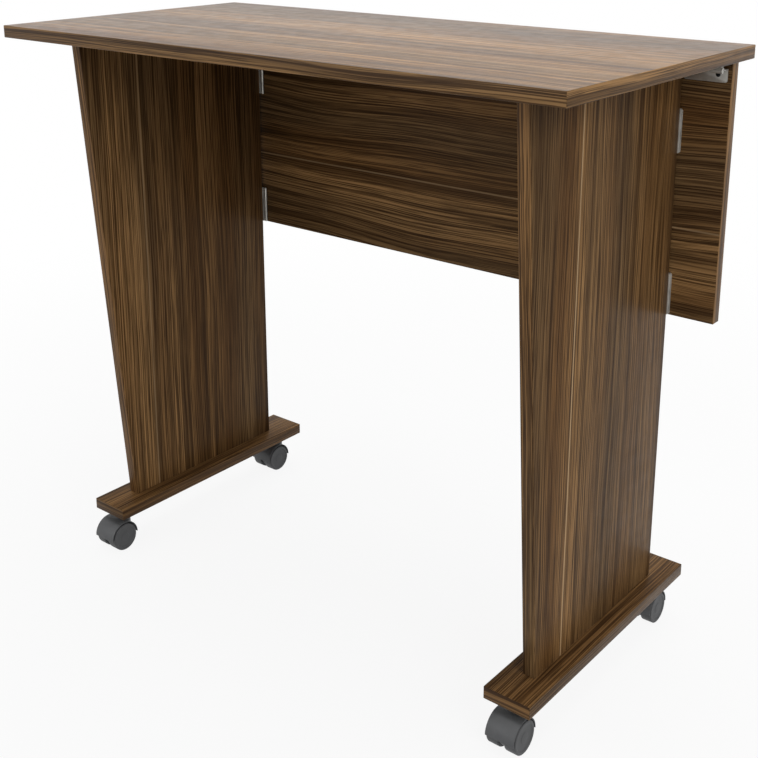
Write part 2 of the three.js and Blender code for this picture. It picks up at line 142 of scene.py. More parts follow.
class Graph:
    """A node tree with short calls for adding and linking nodes."""

    def __init__(self, tree: NodeTree) -> None:
        """Keeps the tree that the calls add to."""
        self.tree = tree

    def node(self, kind: str, **settings: object) -> Node:
        """Adds a node.

        Args:
            kind: The node's type name.
            settings: Properties to set on it.

        Returns:
            The new node.
        """
        made = self.tree.nodes.new(kind)
        for name, value in settings.items():
            setattr(made, name, value)
        return made

    def feed(self, socket: NodeSocket, value: SocketOrValue | Colour) -> None:
        """Links a socket to an input, or sets the input to a plain value.

        Args:
            socket: The input.
            value: The socket or the value that it takes.
        """
        if isinstance(value, NodeSocket):
            self.tree.links.new(value, socket)
        else:
            socket.default_value = value

    def math(self, operation: str, *values: SocketOrValue) -> NodeSocket:
        """Adds a Math node.

        Args:
            operation: The node's operation.
            values: Its inputs, in order.

        Returns:
            The node's output.
        """
        made = self.node("ShaderNodeMath", operation=operation)
        for socket, value in zip(made.inputs, values):
            self.feed(socket, value)
        return made.outputs[0]

    def split(self, vector: NodeSocket) -> list[NodeSocket]:
        """Splits a vector.

        Args:
            vector: The vector.

        Returns:
            Its three parts.
        """
        made = self.node("ShaderNodeSeparateXYZ")
        self.feed(made.inputs[0], vector)
        return list(made.outputs)

    def join(self, *parts: NodeSocket) -> NodeSocket:
        """Joins three parts.

        Args:
            parts: The parts, in order.

        Returns:
            Their vector.
        """
        made = self.node("ShaderNodeCombineXYZ")
        for socket, part in zip(made.inputs, parts):
            self.feed(socket, part)
        return made.outputs[0]

    def noise(self, vector: NodeSocket, stretch: Stretch, detail: float = 1.0,
              roughness: float = 0.5) -> NodeSocket:
        """Adds noise that is stretched along the vector's axes.

        Args:
            vector: The place in metres.
            stretch: Features per metre along each axis.
            detail: Octaves of finer noise.
            roughness: Weight of the finer noise.

        Returns:
            The noise value, about 0.5 on average.
        """
        scaled = self.node("ShaderNodeVectorMath", operation="MULTIPLY")
        self.feed(scaled.inputs[0], vector)
        scaled.inputs[1].default_value = stretch
        made = self.node("ShaderNodeTexNoise")
        self.feed(made.inputs["Vector"], scaled.outputs[0])
        made.inputs["Scale"].default_value = 1.0
        made.inputs["Detail"].default_value = detail
        made.inputs["Roughness"].default_value = roughness
        return made.outputs[0]

    def ramp(self, value: NodeSocket, low: float, high: float) -> NodeSocket:
        """Maps a value smoothly to the range from 0 to 1.

        Args:
            value: The value.
            low: What becomes 0.
            high: What becomes 1.

        Returns:
            The mapped value.
        """
        made = self.node("ShaderNodeMapRange", interpolation_type="SMOOTHSTEP")
        self.feed(made.inputs["Value"], value)
        made.inputs["From Min"].default_value = low
        made.inputs["From Max"].default_value = high
        return made.outputs[0]

    def mask(self, vector: NodeSocket, grain: Grain) -> NodeSocket:
        """Returns stretched noise, mapped to the range from 0 to 1."""
        noise = self.noise(vector, grain.stretch, grain.detail, grain.roughness)
        return self.ramp(noise, grain.low, grain.high)

    def group(self, tree: NodeTree,
              values: dict[str, SocketOrValue]) -> bpy.types.bpy_prop_collection:
        """Adds a shared group.

        Args:
            tree: The group's tree.
            values: What its inputs take, by name.

        Returns:
            The group's outputs.
        """
        made = self.node("ShaderNodeGroup", node_tree=tree)
        for name, value in values.items():
            self.feed(made.inputs[name], value)
        return made.outputs

    def mix(self, factor: SocketOrValue, first: SocketOrColour, second: SocketOrColour) -> NodeSocket:
        """Mixes two colours.

        Args:
            factor: Share of the second colour.
            first: The first colour.
            second: The second colour.

        Returns:
            The mixed colour.
        """
        made = self.node("ShaderNodeMix", data_type="RGBA")
        self.feed(made.inputs[0], factor)
        self.feed(made.inputs[6], first)
        self.feed(made.inputs[7], second)
        return made.outputs[2]

    def bump(self, height: NodeSocket, depth: float) -> NodeSocket:
        """Adds a bump.

        Args:
            height: The height, from 0 to 1.
            depth: The bump's depth in metres.

        Returns:
            The bumped normal.
        """
        made = self.node("ShaderNodeBump")
        made.inputs["Strength"].default_value = 1.0
        made.inputs["Distance"].default_value = depth
        self.feed(made.inputs["Height"], height)
        return made.outputs[0]

    def place(self) -> NodeSocket:
        """Returns the place on the piece, in metres."""
        return self.node("ShaderNodeTexCoord").outputs["Object"]


class NodeGroups:
    """Shader groups that several finishes share, each built once."""

    def __init__(self) -> None:
        """Builds the groups."""
        self.veneer = self._veneer()
        self.handling = self._handling()

    @staticmethod
    def _open(name: str, inputs: tuple[str, ...],
              outputs: tuple[str, ...]) -> tuple[Graph, dict, dict]:
        """Starts a group with named sockets.

        Args:
            name: The group's name.
            inputs: Names of the value inputs that follow the Vector.
            outputs: Names of the value outputs.

        Returns:
            The graph, its input sockets by name and its output sockets by name.
        """
        tree = bpy.data.node_groups.new(name, "ShaderNodeTree")
        tree.interface.new_socket(name="Vector", in_out="INPUT", socket_type="NodeSocketVector")
        for label in inputs:
            tree.interface.new_socket(name=label, in_out="INPUT", socket_type="NodeSocketFloat")
        for label in outputs:
            tree.interface.new_socket(name=label, in_out="OUTPUT", socket_type="NodeSocketFloat")
        graph = Graph(tree)
        entry = graph.node("NodeGroupInput")
        leaving = graph.node("NodeGroupOutput")
        return graph, {s.name: s for s in entry.outputs}, {s.name: s for s in leaving.inputs}

    def _veneer(self) -> NodeTree:
        """Builds the masks of straight-grained veneer, with the grain along the vector's X.

        Returns:
            A group whose Band and Cast are slow changes of tone, Streak the long dark stripes, Line the fine
            grain, Pore the open pores, Joint the pale line between veneer leaves and Leaf the joints' side.
        """
        joints = ("Joint A", "Joint B")
        masks = (*VENEER, "Joint", "Leaf")
        graph, given, out = self._open("walnut_veneer", ("Seed", "Wander", *joints), masks)
        along, across, depth = graph.split(given["Vector"])
        far = graph.math("MULTIPLY_ADD", given["Seed"], SEED_STRIDE, along)
        deep = graph.math("ADD", depth, given["Seed"])
        moved = graph.join(far, across, deep)
        wander = graph.math("SUBTRACT", graph.noise(moved, WANDER_STRETCH), 0.5)
        ripple = graph.math("SUBTRACT", graph.noise(moved, RIPPLE_STRETCH), 0.5)
        shiver = graph.math("MULTIPLY", ripple, RIPPLE_REACH)
        drift = graph.math("MULTIPLY_ADD", wander, given["Wander"], shiver)
        flow = graph.join(far, graph.math("ADD", across, drift), deep)
        for label, grain in VENEER.items():
            graph.feed(out[label], graph.mask(flow, grain))
        nudged = graph.math("MULTIPLY_ADD", wander, JOINT_NUDGE, across)
        lines = []
        sides = []
        for label in joints:
            off = graph.math("SUBTRACT", nudged, given[label])
            beside = graph.ramp(graph.math("ABSOLUTE", off), JOINT_CORE, JOINT_EDGE)
            lines.append(graph.math("SUBTRACT", 1.0, beside))
            sides.append(graph.math("GREATER_THAN", off, 0.0))
        worn = graph.mask(flow, JOINT_WEAR)
        graph.feed(out["Joint"], graph.math("MULTIPLY", graph.math("MAXIMUM", *lines), worn))
        graph.feed(out["Leaf"], graph.math("MULTIPLY", graph.math("ADD", *sides), 0.5))
        return graph.tree

    def _handling(self) -> NodeTree:
        """Builds the marks of making and use.

        Returns:
            A group whose Mottle is a slow cloud, Speck a fine texture and Rub a sparse scuff.
        """
        graph, given, out = self._open("handling_marks", (), ("Mottle", "Speck", "Rub"))
        vector = given["Vector"]
        graph.feed(out["Mottle"], graph.mask(vector, MOTTLE))
        graph.feed(out["Speck"], graph.noise(vector, SPECK_STRETCH))
        graph.feed(out["Rub"], graph.mask(vector, RUB))
        return graph.tree


def start_material(name: str) -> tuple[Material, Graph, Node]:
    """Starts a node material.

    Args:
        name: The material's name.

    Returns:
        The material, its graph and its Principled shader.
    """
    material = bpy.data.materials.new(name)
    material.use_nodes = True
    return material, Graph(material.node_tree), material.node_tree.nodes["Principled BSDF"]


@dataclass(frozen=True)
class WalnutLaminate:
    """Satin walnut-grain laminate on one kind of face of a board."""

    grain: Axis
    across: Axis
    seed: float
    wander: float
    gloss: float
    joint_a: float = NO_JOINT
    joint_b: float = NO_JOINT
    joint_weight: float = 0.0
    # painted shade: a share of the dark colour over the whole board, standing in for the shade that falls
    # under the table, and partly a darker veneer
    painted_shade_and_tone: float = 0.0
    dark: Colour = display(47, 29, 13)
    middle: Colour = display(109, 77, 44)
    light: Colour = display(170, 130, 84)
    ash: Colour = display(108, 86, 59)
    pore: Colour = display(34, 20, 8)
    joint: Colour = display(196, 164, 124)
    leaf_step: float = -0.3
    ash_weight: float = 0.7
    streak_weight: float = 0.62
    furrow_weight: float = 0.84
    pore_weight: float = 0.62
    roughness: float = 0.35
    haze: float = 0.06
    line_relief: float = 0.4
    relief_depth: float = 0.03 * MM

    def material(self, name: str, groups: NodeGroups) -> Material:
        """Builds the laminate.

        Args:
            name: The material's name.
            groups: The shared shader groups.

        Returns:
            The material.
        """
        material, graph, shader = start_material(name)
        place = graph.place()
        parts = graph.split(place)
        third = ({0, 1, 2} - {self.grain.value, self.across.value}).pop()
        order = graph.join(parts[self.grain.value], parts[self.across.value], parts[third])
        mask = graph.group(groups.veneer, {"Vector": order, "Seed": self.seed, "Wander": self.wander,
                                           "Joint A": self.joint_a, "Joint B": self.joint_b})
        marks = graph.group(groups.handling, {"Vector": place})
        tone = graph.math("MULTIPLY_ADD", mask["Leaf"], self.leaf_step, mask["Band"])
        body = graph.mix(tone, self.middle, self.light)
        furrow = graph.math("SUBTRACT", 1.0, mask["Line"])
        layers = ((mask["Cast"], self.ash_weight, self.ash), (mask["Streak"], self.streak_weight, self.dark),
                  (furrow, self.furrow_weight, self.dark), (mask["Pore"], self.pore_weight, self.pore),
                  (mask["Joint"], self.joint_weight, self.joint))
        for cover, weight, colour in layers:
            body = graph.mix(graph.math("MULTIPLY", cover, weight), body, colour)
        # the painted shade darkens the whole face towards the dark colour, for the shade under the table and
        # legs, and partly for a darker veneer
        graph.feed(shader.inputs["Base Color"], graph.mix(self.painted_shade_and_tone, body, self.dark))
        shader.inputs["Specular IOR Level"].default_value = self.gloss
        sheen = graph.math("MULTIPLY_ADD", marks["Mottle"], self.haze, self.roughness)
        graph.feed(shader.inputs["Roughness"], sheen)
        relief = graph.math("SUBTRACT", graph.math("MULTIPLY", mask["Line"], self.line_relief), mask["Pore"])
        graph.feed(shader.inputs["Normal"], graph.bump(relief, self.relief_depth))
        return material


@dataclass(frozen=True)
class WornFinish:
    """A plain finish that is cloudy in tone, a little rubbed and finely textured."""

    body: Colour
    worn: Colour
    roughness: float
    cloud: float = 0.3
    rub: float = 0.22
    haze: float = 0.12
    texture: float = 0.03 * MM
    metallic: float = 0.0

    def material(self, name: str, groups: NodeGroups) -> Material:
        """Builds the finish.

        Args:
            name: The material's name.
            groups: The shared shader groups.

        Returns:
            The material.
        """
        material, graph, shader = start_material(name)
        marks = graph.group(groups.handling, {"Vector": graph.place()})
        body = graph.mix(graph.math("MULTIPLY", marks["Mottle"], self.cloud), self.body, self.worn)
        body = graph.mix(graph.math("MULTIPLY", marks["Rub"], self.rub), body, self.worn)
        graph.feed(shader.inputs["Base Color"], body)
        rough = graph.math("MULTIPLY_ADD", marks["Mottle"], self.haze, self.roughness)
        graph.feed(shader.inputs["Roughness"], rough)
        graph.feed(shader.inputs["Normal"], graph.bump(marks["Speck"], self.texture))
        shader.inputs["Metallic"].default_value = self.metallic
        return material


@dataclass(frozen=True)
class MouldedPlastic(WornFinish):
    """Spark-textured grey nylon, a little dusty."""


@dataclass(frozen=True)
class PlatedSteel(WornFinish):
    """Zinc-plated or blackened pressed steel."""

    cloud: float = 1.0
    rub: float = 0.35
    haze: float = 0.14
    texture: float = 0.012 * MM
    metallic: float = 0.85


@dataclass(frozen=True)
class Finishes:
    """The materials that the table's small parts share."""

    zinc: Material
    black: Material
    hood: Material
    wheel: Material

    @classmethod
    def build(cls, groups: NodeGroups) -> Finishes:
        """Builds the materials.

        Args:
            groups: The shared shader groups.

        Returns:
            The materials.
        """
        zinc = PlatedSteel(display(206, 203, 196), display(172, 170, 164), 0.4)
        black = PlatedSteel(display(30, 30, 32), display(18, 18, 19), 0.36)
        hood = MouldedPlastic(display(66, 67, 69), display(92, 92, 92), 0.46)
        wheel = MouldedPlastic(display(58, 59, 61), display(86, 86, 86), 0.5)
        return cls(
            zinc.material("zinc_plate", groups),
            black.material("black_oxide", groups),
            hood.material("hood_nylon", groups),
            wheel.material("wheel_nylon", groups),
        )


def linked(name: str, data: ID) -> Object:
    """Makes an object and links it to the scene.

    Args:
        name: The object's name.
        data: Its mesh, lamp or camera.

    Returns:
        The new object.
    """
    made = bpy.data.objects.new(name, data)
    bpy.context.scene.collection.objects.link(made)
    return made


def mesh_of(bm: BMesh, name: str) -> Mesh:
    """Turns a bmesh into a mesh.

    Args:
        bm: The shape. It is freed here.
        name: The mesh's name.

    Returns:
        The new mesh.
    """
    mesh = bpy.data.meshes.new(name)
    bm.to_mesh(mesh)
    bm.free()
    return mesh


def finish_piece(bm: BMesh, name: str, body: str,
                 materials: list[Material]) -> Object:
    """Makes a piece of a bmesh and rides it on its body.

    Args:
        bm: The shape, in metres in the table's frame. It is freed here.
        name: The piece's name.
        body: The body that it moves with.
        materials: Its materials, in the order of the faces' indices.

    Returns:
        The new object.
    """
    bmesh.ops.recalc_face_normals(bm, faces=bm.faces)
    mesh = mesh_of(bm, name)
    for material in materials:
        mesh.materials.append(material)
    mesh.shade_smooth()
    mesh.set_sharp_from_angle(angle=SHARP_TURN)
    piece = linked(name, mesh)
    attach(piece, body)
    LOG.info("%s rides on %s", name, body)
    return piece


def spun(profile: list[tuple[float, float]], steps: int) -> BMesh:
    """Turns an outline about Z.

    Args:
        profile: Radius and height of each point, from one pole to the other, in metres.
        steps: Facets round the turn.

    Returns:
        A closed bmesh.
    """
    bm = bmesh.new()
    points = [bm.verts.new((radius, 0.0, height)) for radius, height in profile]
    edges = [bm.edges.new(pair) for pair in zip(points, points[1:])]
    bmesh.ops.spin(bm, geom=points + edges, cent=(0, 0, 0), axis=(0, 0, 1), angle=2 * math.pi, steps=steps,
                   use_merge=True)
    bmesh.ops.remove_doubles(bm, verts=bm.verts, dist=WELD)
    bmesh.ops.recalc_face_normals(bm, faces=bm.faces)
    return bm


def soften(bm: BMesh, radius: float, segments: int = 3, least: float = 30.0) -> None:
    """Rounds the edges that turn by more than an angle.

    Args:
        bm: The shape.
        radius: The rounding, in metres.
        segments: Facets across the rounding.
        least: The least turn in degrees.
    """
    limit = math.radians(least)
    edges = [e for e in bm.edges if len(e.link_faces) == 2 and e.calc_face_angle() > limit]
    round_off(bm, edges, radius, segments, True)


def round_off(bm: BMesh, edges: list[BMEdge], radius: float, segments: int,
              clamp: bool = False) -> None:
    """Rounds the given edges, by a radius in metres. Clamped roundings stop where they would meet."""
    bmesh.ops.bevel(bm, geom=edges, offset=radius, offset_type="OFFSET", affect="EDGES", segments=segments,
                    profile=0.5, material=-1, clamp_overlap=clamp)


def add_cone(bm: BMesh, lower: float, upper: float, depth: float,
             steps: int) -> list[BMVert]:
    """Adds a capped cone about Z, with its middle at the origin, and returns its vertices."""
    return bmesh.ops.create_cone(bm, cap_ends=True, segments=steps, radius1=lower, radius2=upper,
                                 depth=depth)["verts"]


def middle_of(node: str) -> Vector:
    """Returns the middle of a node's box at rest."""
    low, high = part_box(node)
    return (Vector(low) + Vector(high)) / 2


@dataclass
class Board:
    """A laminated board with banded edges and softened arrises."""

    node: str
    body: str
    slot: str
    grain: Axis
    across: Axis
    seed: float
    joint_a: float = NO_JOINT
    joint_b: float = NO_JOINT
    joint_weight: float = 0.3
    # painted shade on all the board's faces, partly a darker veneer; it darkens the laminate towards its dark
    # colour
    painted_shade_and_tone: float = 0.0
    gloss: float = 0.04
    edge_gloss: float = 0.1
    wander: float = 0.016
    sunk_screws: tuple[str, ...] = ()
    arris: float = 0.7 * MM
    seat_play: float = 0.3 * MM
    seat_depth: float = 3.5 * MM
    seat_steps: int = 32
    seed_step: float = 0.31

    @property
    def through(self) -> Axis:
        """The axis through the board's thickness."""
        return Axis(({0, 1, 2} - {self.grain.value, self.across.value}).pop())

    def outline(self, source: Object) -> BMesh:
        """Makes the board's block, with a slanting end where the solid's lower end is shorter.

        Args:
            source: The board's CAD object.

        Returns:
            A bmesh of the block with sharp edges.
        """
        low, high = (Vector(corner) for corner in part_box(self.node))
        bm = bmesh.new()
        bmesh.ops.create_cube(bm, size=1.0)
        bmesh.ops.scale(bm, vec=high - low, verts=bm.verts)
        bmesh.ops.translate(bm, vec=(low + high) / 2, verts=bm.verts)
        lowest = [v.co.y for v in source.data.vertices if v.co.z < low.z + MM]
        for vert in bm.verts:
            if vert.co.z < low.z + MM and vert.co.y < middle_of(self.node).y:
                vert.co.y = min(lowest)
        return bm

    def materials(self, groups: NodeGroups) -> list[Material]:
        """Builds the laminate of the faces normal to X, Y and Z.

        Args:
            groups: The shared shader groups.

        Returns:
            Three materials, by the axis of the face's normal.
        """
        made = []
        for axis in Axis:
            seed = self.seed + self.seed_step * axis.value
            if axis is self.through:
                laminate = WalnutLaminate(self.grain, self.across, seed, self.wander, self.gloss,
                                          self.joint_a, self.joint_b, self.joint_weight, self.painted_shade_and_tone)
            else:
                run = self.across if axis is self.grain else self.grain
                laminate = WalnutLaminate(run, self.through, seed, self.wander, self.edge_gloss,
                                          painted_shade_and_tone=self.painted_shade_and_tone)
            made.append(laminate.material(f"{self.node}_walnut_{axis.name.lower()}", groups))
        return made

    def sink(self, bm: BMesh) -> BMesh:
        """Bores the seats of the screws that lie flush in the board's underside.

        Args:
            bm: The board. It is freed here where a seat is bored.

        Returns:
            The bored board.
        """
        for screw in self.sunk_screws:
            low, high = (Vector(corner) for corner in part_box(screw))
            middle = middle_of(screw)
            radius = (high.x - low.x) / 2 + self.seat_play
            drill = bmesh.new()
            add_cone(drill, radius, radius, 2 * self.seat_depth, self.seat_steps)
            bmesh.ops.translate(drill, vec=(middle.x, middle.y, low.z), verts=drill.verts)
            bored = carve(bm, drill)
            bm = bmesh.new()
            bm.from_mesh(bored)
            bpy.data.meshes.remove(bored)
        return bm

    def build(self, frame: dict, groups: NodeGroups) -> Object:
        """Makes the board and stands it in for its solid.

        Args:
            frame: The loaded frame.
            groups: The shared shader groups.

        Returns:
            The board's object.
        """
        bm = self.outline(frame["nodes"][self.node])
        soften(bm, self.arris)
        bm = self.sink(bm)
        bm.normal_update()
        for face in bm.faces:
            normal = [abs(part) for part in face.normal]
            face.material_index = normal.index(max(normal))
        piece = finish_piece(bm, f"{self.node}_board", self.body, self.materials(groups))
        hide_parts(self.node)
        return piece


@dataclass
class Screw:
    """A cross-recessed screw, with its seat at z 0 and its point up."""

    form: ScrewForm
    head_radius: float
    head_height: float
    shank_radius: float
    length: float
    point_start: float = 0.8
    wing: float = 0.2
    wing_reach: float = 2.0
    recess: float = 1.1
    steps: int = 24

    def mesh(self) -> Mesh:
        """Turns the screw and cuts its recess.

        Returns:
            A mesh about Z.
        """
        crown = [(self.head_radius * out, -self.head_height * down) for out, down in self.form.value]
        shank = [(self.head_radius, 0), (self.shank_radius, 0),
                 (self.shank_radius, self.length * self.point_start), (0, self.length)]
        return carve(spun(crown + shank, self.steps), self._cross())

    def _cross(self) -> BMesh:
        """Makes the four-winged recess as a solid at the head's crown.

        Returns:
            A closed bmesh.
        """
        wing = self.head_radius * self.wing
        bm = bmesh.new()
        bmesh.ops.create_cube(bm, size=wing)
        sides = [f for f in bm.faces if abs(f.normal.z) < 0.5]
        grown = bmesh.ops.extrude_discrete_faces(bm, faces=sides)["faces"]
        for face in grown:
            bmesh.ops.translate(bm, vec=face.normal * wing * self.wing_reach, verts=face.verts)
        bmesh.ops.scale(bm, vec=(1.0, 1.0, self.head_height / wing * self.recess), verts=bm.verts)
        bmesh.ops.translate(bm, vec=(0, 0, -self.head_height), verts=bm.verts)
        bmesh.ops.recalc_face_normals(bm, faces=bm.faces)
        return bm


def carve(body: BMesh, cutter: BMesh) -> Mesh:
    """Cuts one closed shape out of another.

    Args:
        body: The shape that is kept. It is freed here.
        cutter: The shape that is cut away. It is freed here.

    Returns:
        The cut mesh.
    """
    made = [linked(label, mesh_of(bm, label)) for label, bm in (("carved", body), ("carver", cutter))]
    cut = made[0].modifiers.new("recess", "BOOLEAN")
    cut.operation = "DIFFERENCE"
    cut.solver = "EXACT"
    cut.object = made[1]
    graph = bpy.context.evaluated_depsgraph_get()
    result = bpy.data.meshes.new_from_object(made[0].evaluated_get(graph))
    for piece in made:
        mesh = piece.data
        bpy.data.objects.remove(piece)
        bpy.data.meshes.remove(mesh)
    return result


def screw_group(pattern: Mesh, places: list[Matrix]) -> BMesh:
    """Copies a screw to several places in one shape.

    Args:
        pattern: The screw's mesh.
        places: A transform for each copy.

    Returns:
        A bmesh of all the screws.
    """
    bm = bmesh.new()
    for place in places:
        copy = pattern.copy()
        copy.transform(place)
        bm.from_mesh(copy)
        bpy.data.meshes.remove(copy)
    return bm


def add_block(bm: BMesh, low: Vector, high: Vector) -> list[BMVert]:
    """Adds a block between two corners.

    Args:
        bm: The bmesh that it is added to.
        low: Its lowest corner.
        high: Its highest corner.

    Returns:
        The block's vertices.
    """
    made = bmesh.ops.create_cube(bm, size=1.0)["verts"]
    bmesh.ops.scale(bm, vec=high - low, verts=made)
    bmesh.ops.translate(bm, vec=(low + high) / 2, verts=made)
    return made


@dataclass
class HingeLeaf:
    """A pressed leaf: a sheet with round corners, the crank to the pin and the knuckles on it."""

    node: str
    body: str
    pin: str
    along: Vector
    up: Vector
    owns_centre: bool
    zinc: Material
    sheet: float = 1.2 * MM
    centre: float = 20.0 * MM
    gap: float = 0.4 * MM
    play: float = 0.3 * MM
    corner: float = 2.5 * MM
    corner_steps: int = 6
    burr: float = 0.15 * MM
    steps: int = 32

    def build(self) -> None:
        """Makes the leaf about a pin on Z, with its sheet along X at the top of Y, and sets it in place."""
        middle = middle_of(self.pin)
        axis = self.along.cross(self.up)
        corners = [Vector(corner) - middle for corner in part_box(self.node)]
        reach = max(corner.dot(self.along) for corner in corners)
        rise = max(corner.dot(self.up) for corner in corners)
        barrel = -min(corner.dot(self.up) for corner in corners)
        half = max(corner.dot(axis) for corner in corners)
        bm = bmesh.new()
        self._plates(bm, reach, rise, barrel + self.play, half)
        soften(bm, self.burr, 2)
        for low, high in self._spans(half):
            made = add_cone(bm, barrel, barrel, high - low, self.steps)
            bmesh.ops.translate(bm, vec=(0, 0, (low + high) / 2), verts=made)
        turn = Matrix((self.along, self.up, axis)).transposed().to_4x4()
        bmesh.ops.transform(bm, matrix=Matrix.Translation(middle) @ turn, verts=bm.verts)
        piece = finish_piece(bm, f"{self.node}_pressed", self.body, [self.zinc])
        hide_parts(self.node)

    def _spans(self, half: float) -> list[tuple[float, float]]:
        """Finds the stretches of the pin that this leaf's knuckles hold.

        Args:
            half: Half the leaf's length.

        Returns:
            The ends of each stretch, from the pin's middle.
        """
        if self.owns_centre:
            return [((self.gap - self.centre) / 2, (self.centre - self.gap) / 2)]
        inner = (self.centre + self.gap) / 2
        return [(-half, -inner), (inner, half)]

    def _plates(self, bm: BMesh, reach: float, rise: float, room: float, half: float) -> None:
        """Adds the sheet, the crank of a tall leaf and the straps to the knuckles.

        Args:
            bm: The leaf's bmesh.
            reach: From the pin to the sheet's free edge.
            rise: From the pin to the sheet's back.
            room: What the other leaf's knuckles need, about the pin.
            half: Half the leaf's length.
        """
        web = self.sheet / 2
        face = rise - self.sheet
        cranked = face > room
        start = -web if cranked else room
        sheet = add_block(bm, Vector((start, face, -half)), Vector((reach, rise, half)))
        free = [e for e in {e for v in sheet for e in v.link_edges}
                if min(v.co.x for v in e.verts) > reach - MM and abs(e.verts[0].co.y - e.verts[1].co.y) > web]
        round_off(bm, free, self.corner, self.corner_steps)
        if cranked:
            add_block(bm, Vector((-web, room, -half)), Vector((web, rise - web, half)))
        for low, high in self._spans(half):
            if cranked:
                add_block(bm, Vector((-web, 0, low)), Vector((web, room + web, high)))
            else:
                add_block(bm, Vector((0, face, low)), Vector((room + web, rise, high)))


@dataclass
class HingePin:
    """A hinge pin with domed ends."""

    node: str
    axis: Axis
    zinc: Material
    dome: tuple[tuple[float, float], ...] = ((0.0, 0.0), (0.55, 0.15), (1.0, 0.6))
    steps: int = 24

    def build(self) -> None:
        """Turns the pin and sets it in place."""
        low, high = (Vector(corner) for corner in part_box(self.node))
        half = (high - low)[self.axis.value] / 2
        radius = min(high - low) / 2
        dome = [(radius * out, half - radius * down) for out, down in self.dome]
        bm = spun(dome + [(across, -height) for across, height in reversed(dome)], self.steps)
        turn = Matrix.Rotation(QUARTER_TURN, 4, "Y") if self.axis is Axis.X else Matrix.Identity(4)
        bmesh.ops.transform(bm, matrix=Matrix.Translation((low + high) / 2) @ turn, verts=bm.verts)
        piece = finish_piece(bm, f"{self.node}_turned", "panel", [self.zinc])
        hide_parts(self.node)


@dataclass
class LegHinge:
    """A butt hinge shut between a leg's rear edge and the panel."""

    name: str
    leg_body: str
    screw: Mesh
    zinc: Material
    screw_offset: float = 14.5 * MM
    sheet: float = 1.2 * MM

    def build(self) -> None:
        """Makes the leaves and the pin, and sets the screws in both leaves."""
        pin = f"{self.name}_pin"
        outwards = Vector((math.copysign(1.0, middle_of(pin).x), 0, 0))
        back = Vector((0, 1, 0))
        HingeLeaf(f"{self.name}_panel_leaf", "panel", pin, outwards, back, False, self.zinc).build()
        HingeLeaf(f"{self.name}_leg_leaf", self.leg_body, pin, outwards, -back, True, self.zinc).build()
        HingePin(pin, Axis.Z, self.zinc).build()
        self._screws("panel_leaf", "panel", -1)
        self._screws("leg_leaf", self.leg_body, 1)

    def _screws(self, part: str, body: str, way: int) -> None:
        """Sets two screws in one leaf.

        Args:
            part: The leaf.
            body: The body that the leaf moves with.
            way: 1 where the heads face +Y and -1 where they face -Y.
        """
        leaf = f"{self.name}_{part}"
        middle = middle_of(leaf)
        low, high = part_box(leaf)
        back = high[1] if way < 0 else low[1]
        seat = back + way * self.sheet
        turn = Matrix.Rotation(way * QUARTER_TURN, 4, "X")
        places = []
        for offset in (-self.screw_offset, self.screw_offset):
            place = Vector((middle.x, seat, middle.z + offset))
            places.append(Matrix.Translation(place) @ turn)
        bm = screw_group(self.screw, places)
        finish_piece(bm, f"{leaf}_screws", body, [self.zinc])


def dress(node: Object, material: Material) -> None:
    """Gives a CAD object one material.

    Args:
        node: The object.
        material: The material.
    """
    node.data.materials.clear()
    node.data.materials.append(material)
    LOG.info("%s dressed in %s", node.name, material.name)


@dataclass
class TopHinge:
    """A cranked hinge between the panel and the top, held by black screws."""

    name: str
    screw: Mesh
    finishes: Finishes

    def build(self) -> None:
        """Makes the leaves and the pin, and remakes the screws."""
        pin = f"{self.name}_pin"
        back = Vector((0, 1, 0))
        above = Vector((0, 0, 1))
        zinc = self.finishes.zinc
        HingeLeaf(f"{self.name}_panel_leaf", "panel", pin, -above, back, False, zinc).build()
        HingeLeaf(f"{self.name}_top_leaf", "top", pin, -back, above, True, zinc).build()
        HingePin(pin, Axis.X, zinc).build()
        for number in (1, 2):
            self._screw(f"{self.name}_panel_screw_{number}", "panel", True)
            self._screw(f"{self.name}_top_screw_{number}", "top", False)

    def _screw(self, node: str, body: str, level: bool) -> None:
        """Remakes one screw with its recess.

        Args:
            node: The screw's solid.
            body: The body that it moves with.
            level: Whether its point runs back along +Y, and not up.
        """
        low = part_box(node)[0]
        middle = middle_of(node)
        if level:
            turn = Matrix.Rotation(-QUARTER_TURN, 4, "X")
            place = Matrix.Translation((middle.x, low[1], middle.z)) @ turn
        else:
            place = Matrix.Translation((middle.x, middle.y, low[2]))
        lowest = min(vert.co.z for vert in self.screw.vertices)
        bm = screw_group(self.screw, [place @ Matrix.Translation((0, 0, -lowest))])
        piece = finish_piece(bm, f"{node}_head", body, [self.finishes.black])
        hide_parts(node)


